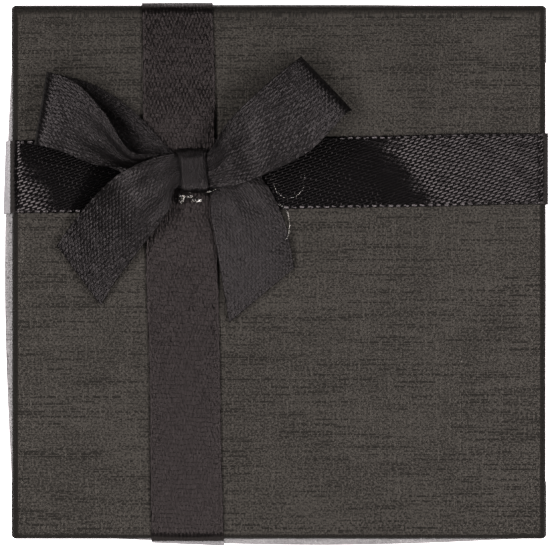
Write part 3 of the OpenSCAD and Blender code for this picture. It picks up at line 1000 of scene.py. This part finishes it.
def bow():
    """One ribbon, gathered into pleats where its edges are closer than it is wide."""
    steps = 26
    backs = spline([s[0] for s in BOW_STOPS], steps) + KNOT
    fronts = spline([s[1] for s in BOW_STOPS], steps) + KNOT
    bulge = spline([(s[2], 0, 0) for s in BOW_STOPS], steps)[:, 0]
    chord = np.linalg.norm(backs - fronts, axis=1)
    spare = np.sqrt(np.maximum((RIBBON_W / chord) ** 2 - 1, 0))
    depth = np.minimum(0.5 * RIBBON_W / (2 * math.pi * PLEATS) * spare, PLEAT_DEPTH)
    depth = np.convolve(np.pad(depth, 12, mode="edge"), np.ones(25) / 25, mode="valid")
    stop = np.arange(len(chord)) / steps
    turn = np.where((stop > FOLDS[0]) & (stop < FOLDS[1]), -1.0, 1.0)

    def lift(w, i):
        wave = math.cos(2 * math.pi * PLEATS * w + 0.5 + waver(stop[i], w, 2, 1.4, 0.8))
        ripple = waver(stop[i] * 2.2, w * 3, 5, 1, 0.07) * min(1.0, chord[i] / 10)
        return turn[i] * depth[i] * wave + bulge[i] * (1 - (2 * w - 1) ** 2) + ripple

    fine = np.linspace(0, 1, 41)
    columns = np.unique(np.concatenate([fine, [0.012, 0.988]]).round(4))
    obj, length = ribbon_sheet("bow", fronts, backs, lift, columns)
    finish_piece(obj, BOW_SATIN, "lid", "bow_ribbon")


def knot():
    """The folded strip round the bow's waist, gathered lengthways into soft pleats."""
    half_y, half_z = (KNOT_HI - KNOT_LO)[1:] / 2
    rows, pleats = 180, 2.5
    roundness = 0.36  # of its section: 1 is an ellipse, 0 a rectangle
    columns = np.linspace(0, 1, 45)
    points = np.zeros((rows, len(columns), 3))
    uvs = np.zeros((rows, len(columns), 2))
    distance = 0.0
    last = None
    for i in range(rows):
        t = -math.pi / 2 + 2 * math.pi * i / (rows - 1)
        y = math.copysign(abs(math.cos(t)) ** roundness, math.cos(t))
        z = math.copysign(abs(math.sin(t)) ** roundness, math.sin(t))
        out = Vector((0, y / half_y, z / half_z)).normalized()
        middle = 0.28 - 0.34 * y
        half_x = 2.2 + 0.35 * smooth((y - 0.6) / 0.4) - 0.1 * math.exp(-((y / 0.5) ** 2))
        here = np.array((0, y * half_y, z * half_z))
        distance += 0 if last is None else np.linalg.norm(here - last)
        last = here
        for j, w in enumerate(columns):
            shift = waver(math.sin(t) * 2, math.cos(t) * 2, w, 1, 0.7)
            wave = math.cos(2 * math.pi * pleats * w + shift)
            edge = smooth(min(w, 1 - w) / 0.1)
            off = 0.08 * wave * edge - 0.3 * (1 - edge) - 0.2
            off += waver(w * 4, math.sin(t) * 3, math.cos(t) * 3, 1, 0.06)
            x = middle + half_x * (2 * w - 1)
            points[i, j] = KNOT + np.array((x, here[1] + out.y * off, here[2] + out.z * off))
            uvs[i, j] = (0.5 + w * (RIBBON_W - 1), distance)
    points[-1] = points[0]
    obj = mesh_object("knot_wrap", [(points, uvs)], weld=True)
    thicken(obj, KNOT_T)
    finish_piece(obj, BOW_SATIN, "lid", "bow_knot")


def tube(bm, route, radius):
    """A thin tube with round ends along a route of points, added to bm."""
    sides = 10
    route = [Vector(p) for p in route]
    rings = []
    for i, p in enumerate(route):
        ahead = (route[min(i + 1, len(route) - 1)] - route[max(i - 1, 0)]).normalized()
        side = ahead.cross(Vector((0.3, 0.2, 1))).normalized()
        up = side.cross(ahead)
        end = min(i, len(route) - 1 - i)
        r = radius * (0.35, 0.8, 1.0)[min(end, 2)]
        rings.append(
            [
                bm.verts.new((p + (side * math.cos(a) + up * math.sin(a)) * r) * MM)
                for a in (2 * math.pi * k / sides for k in range(sides))
            ]
        )
    for a, b in zip(rings, rings[1:]):
        for k in range(sides):
            bm.faces.new((a[k], a[(k + 1) % sides], b[(k + 1) % sides], b[k]))
    bm.faces.new(rings[0][::-1])
    bm.faces.new(rings[-1])


def lump(bm, centre, radii, seed, rough):
    """An uneven rounded lump of glue, added to bm."""
    made = bmesh.ops.create_icosphere(bm, subdivisions=4, radius=1.0)
    for v in made["verts"]:
        p = v.co.copy()
        grow = 1 + rough * noise.noise(p * 1.6 + Vector((seed, 0, 0)))
        v.co = Vector([(c + p[i] * radii[i] * grow) * MM for i, c in enumerate(centre)])


def glue():
    """Clear glue: a pad under the knot, a bead squeezed out in front and drawn-out strings."""
    bm = bmesh.new()
    x, y, _ = KNOT
    _, front, bottom = GLUE_LO
    lump(bm, (x - 1.7, front + 0.95, bottom + 0.85), (0.5, 0.7, 0.75), seed=1, rough=0.3)
    lump(bm, (x - 0.55, front + 1.3, bottom + 1.05), (0.7, 0.4, 0.6), seed=5, rough=0.3)
    lump(bm, (x + 0.75, front + 0.7, bottom + 0.85), (0.8, 0.42, 0.6), seed=4, rough=0.3)
    lump(bm, (x, y, bottom + 0.15), (2.2, 3.3, 0.14), seed=7, rough=0.1)
    low = LID_TOP + 1.6
    ring = []
    for a in np.radians(np.linspace(175, 372, 60)):
        ring.append((16.35 + 2.5 * math.cos(a), -2.15 + 2.5 * math.sin(a), 2.6 + 0.3 * math.sin(3 * a)))
    ring.append((19.3, 0.2, 3.2))
    arc = [(14.6, -5.7, 0.6), (15.9, -6.6, 0.7), (16.5, -8.7, 0.5), (16.3, -10.8, 0.3), (15.8, -11.7, 0.2)]
    strand = [(1.6, -4.0, 0.4), (2.9, -3.6, 0.9), (4.3, -3.2, 1.2)]
    for string, radius in ((ring, 0.05), (spline(arc, 16), 0.08), (spline(strand, 12), 0.11)):
        tube(bm, [(x + dx, y + dy, low + dz) for dx, dy, dz in string], radius)
    bmesh.ops.recalc_face_normals(bm, faces=bm.faces)
    mesh = bpy.data.meshes.new("glue_bead")
    bm.to_mesh(mesh)
    bm.free()
    mesh.polygons.foreach_set("use_smooth", [True] * len(mesh.polygons))
    finish_piece(placed("glue_bead", mesh), HOT_GLUE, "lid", "bow_glue")


# ---- CAD nodes that keep their shape ----


def dress_cad_nodes():
    looks = {
        "base_board": GREYBOARD,
        "lid_board": GREYBOARD,
        "base_corner_stays": STAY_TAPE,
        "lid_corner_stays": STAY_TAPE,
        "base_lining": LINING,
        "lid_lining": LINING,
        "bow_binding_thread": THREAD,
        "ribbon_end_glue": HOT_GLUE,
    }
    for name, material in looks.items():
        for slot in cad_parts[name].material_slots:
            slot.material = material


# ---- Floor, lights and camera ----

CARD_HALF = 60.0
CARD_SHIFT = 12.0  # how far back its middle lies, and how much longer it is each way along Y
TABLE_HALF = 4000.0


def floor():
    """A small glowing white card under the box, on a pale grey table."""
    mesh = bpy.data.meshes.new("floor")
    size = TABLE_HALF * MM
    corners = [(x, y, 0) for x, y in ((-size, -size), (size, -size), (size, size), (-size, size))]
    mesh.from_pydata(corners, [], [(0, 1, 2, 3)])
    obj = placed("floor", mesh)
    s = Shader("floor_card")
    where = s.place()
    x, y, _ = s.split(where)
    off_x = s.math("ABSOLUTE", x)
    off_y = s.less(s.math("ABSOLUTE", s.less(y, CARD_SHIFT)), CARD_SHIFT)
    table = s.ramp(s.math("MAXIMUM", off_x, off_y), CARD_HALF, CARD_HALF + 0.5)
    card = s.mix(s.noise(where, scale=0.5, detail=3.0), (0.86, 0.88, 0.9, 1), (0.9, 0.92, 0.94, 1))
    mesh.materials.append(
        s.surface(
            Base_Color=s.mix(table, card, grey(0.45)),
            Roughness=0.9,
            Specular_IOR_Level=0.1,
            Emission_Color=s.mix(table, (1.0, 0.94, 0.97, 1), (0, 0, 0, 1)),
            Emission_Strength=3.2,
        )
    )


def softbox(name, where, target, width, height, power):
    """A rectangular light aimed at target, width wide level with the floor."""
    light = bpy.data.lights.new(name, "AREA")
    light.shape = "RECTANGLE"
    light.size, light.size_y = width, height
    light.energy = power
    light.color = (1.0, 0.93, 0.88)
    obj = placed(name, light)
    obj.location = where
    obj.rotation_euler = (Vector(target) - Vector(where)).to_track_quat("-Z", "Y").to_euler()


def studio():
    """Dim surroundings, and three softboxes over the box."""
    scene = bpy.context.scene
    scene.view_settings.view_transform = "Standard"
    world = bpy.data.worlds.new("studio")
    world.use_nodes = True
    background = world.node_tree.nodes["Background"]
    background.inputs[0].default_value = (1.0, 0.97, 0.95, 1)
    background.inputs[1].default_value = 0.08
    scene.world = world
    aim = (0, 0, LID_TOP * MM)
    for side, name in ((-1, "left_softbox"), (1, "right_softbox")):
        softbox(name, (side * 0.15, -0.02, 0.29), aim, width=0.26, height=0.09, power=0.5)
    softbox("front_softbox", (0.0, -0.3, 0.3), aim, width=0.3, height=0.1, power=0.1)


def camera():
    """Straight down from far away, framed on the lid with a hair's breadth round it."""
    data = bpy.data.cameras.new("camera")
    data.sensor_width = 36
    distance, picture_w = 3.0, 0.0927
    middle_x, middle_y = -0.00067, -0.00033
    data.lens = data.sensor_width * distance / picture_w
    data.clip_end = 10
    obj = placed("camera", data)
    obj.location = (middle_x, middle_y, LID_TOP * MM + distance)
    bpy.context.scene.camera = obj


camera()
studio()
floor()
dress_cad_nodes()
tray_covering()
insert_pad()
lid_covering()
bands()
bow()
knot()
glue()
